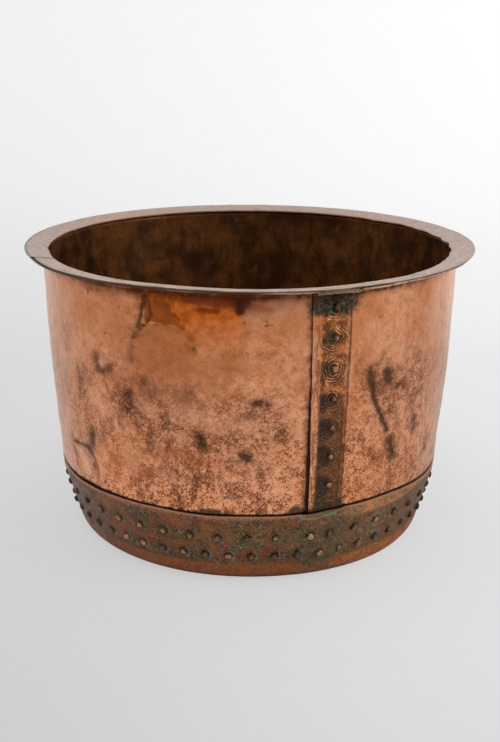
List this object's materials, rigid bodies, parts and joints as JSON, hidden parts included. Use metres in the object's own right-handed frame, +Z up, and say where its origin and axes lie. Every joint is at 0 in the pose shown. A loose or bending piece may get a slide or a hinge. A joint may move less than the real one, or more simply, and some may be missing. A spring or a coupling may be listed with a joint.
{
  "type": "log bucket",
  "caption": "Round riveted sheet copper log bucket: lapped wall with a turned-out rim and a rim ring, on a raised base pan held by rows of rivets.",
  "frame": {"origin": "centre of the flat bottom, on the floor", "axes": "+Z up along the bucket's axis, -Y towards the front of the picture, +X to the right"},
  "size_m": [0.62, 0.62, 0.4],
  "materials": {
    "wall_copper": "polished copper sheet, hammered, with dark pitting and heat tint",
    "pan_copper": "dark red-brown copper with green tarnish near the seam",
    "rim_copper": "worn bright copper with fine scratches, green at the edge",
    "rivet_copper": "dark copper with worn bright tops and green at the foot"
  },
  "bodies": {
    "root": {"wall_sheet": "wall_copper", "base_pan": "pan_copper", "rim_ring": "rim_copper", "seam_rivet_01": "rivet_copper", "seam_rivet_02": "rivet_copper", "seam_rivet_03": "rivet_copper", "seam_rivet_04": "rivet_copper", "seam_rivet_05": "rivet_copper", "seam_rivet_06": "rivet_copper", "seam_rivet_07": "rivet_copper", "base_rivet_01": "rivet_copper", "base_rivet_02": "rivet_copper", "base_rivet_03": "rivet_copper", "base_rivet_04": "rivet_copper", "base_rivet_05": "rivet_copper", "base_rivet_06": "rivet_copper", "base_rivet_07": "rivet_copper", "base_rivet_08": "rivet_copper", "base_rivet_09": "rivet_copper", "base_rivet_10": "rivet_copper", "base_rivet_11": "rivet_copper", "base_rivet_12": "rivet_copper", "base_rivet_13": "rivet_copper", "base_rivet_14": "rivet_copper", "base_rivet_15": "rivet_copper", "base_rivet_16": "rivet_copper", "base_rivet_17": "rivet_copper", "base_rivet_18": "rivet_copper", "base_rivet_19": "rivet_copper", "base_rivet_20": "rivet_copper", "base_rivet_21": "rivet_copper", "base_rivet_22": "rivet_copper", "base_rivet_23": "rivet_copper", "base_rivet_24": "rivet_copper", "base_rivet_25": "rivet_copper", "base_rivet_26": "rivet_copper", "base_rivet_27": "rivet_copper", "base_rivet_28": "rivet_copper", "base_rivet_29": "rivet_copper", "base_rivet_30": "rivet_copper", "base_rivet_31": "rivet_copper", "base_rivet_32": "rivet_copper", "base_rivet_33": "rivet_copper", "base_rivet_34": "rivet_copper", "base_rivet_35": "rivet_copper", "base_rivet_36": "rivet_copper", "base_rivet_37": "rivet_copper", "base_rivet_38": "rivet_copper", "base_rivet_39": "rivet_copper", "base_rivet_40": "rivet_copper", "base_rivet_41": "rivet_copper", "base_rivet_42": "rivet_copper", "base_rivet_43": "rivet_copper", "base_rivet_44": "rivet_copper", "base_rivet_45": "rivet_copper", "base_rivet_46": "rivet_copper"}
  },
  "joints": []
}
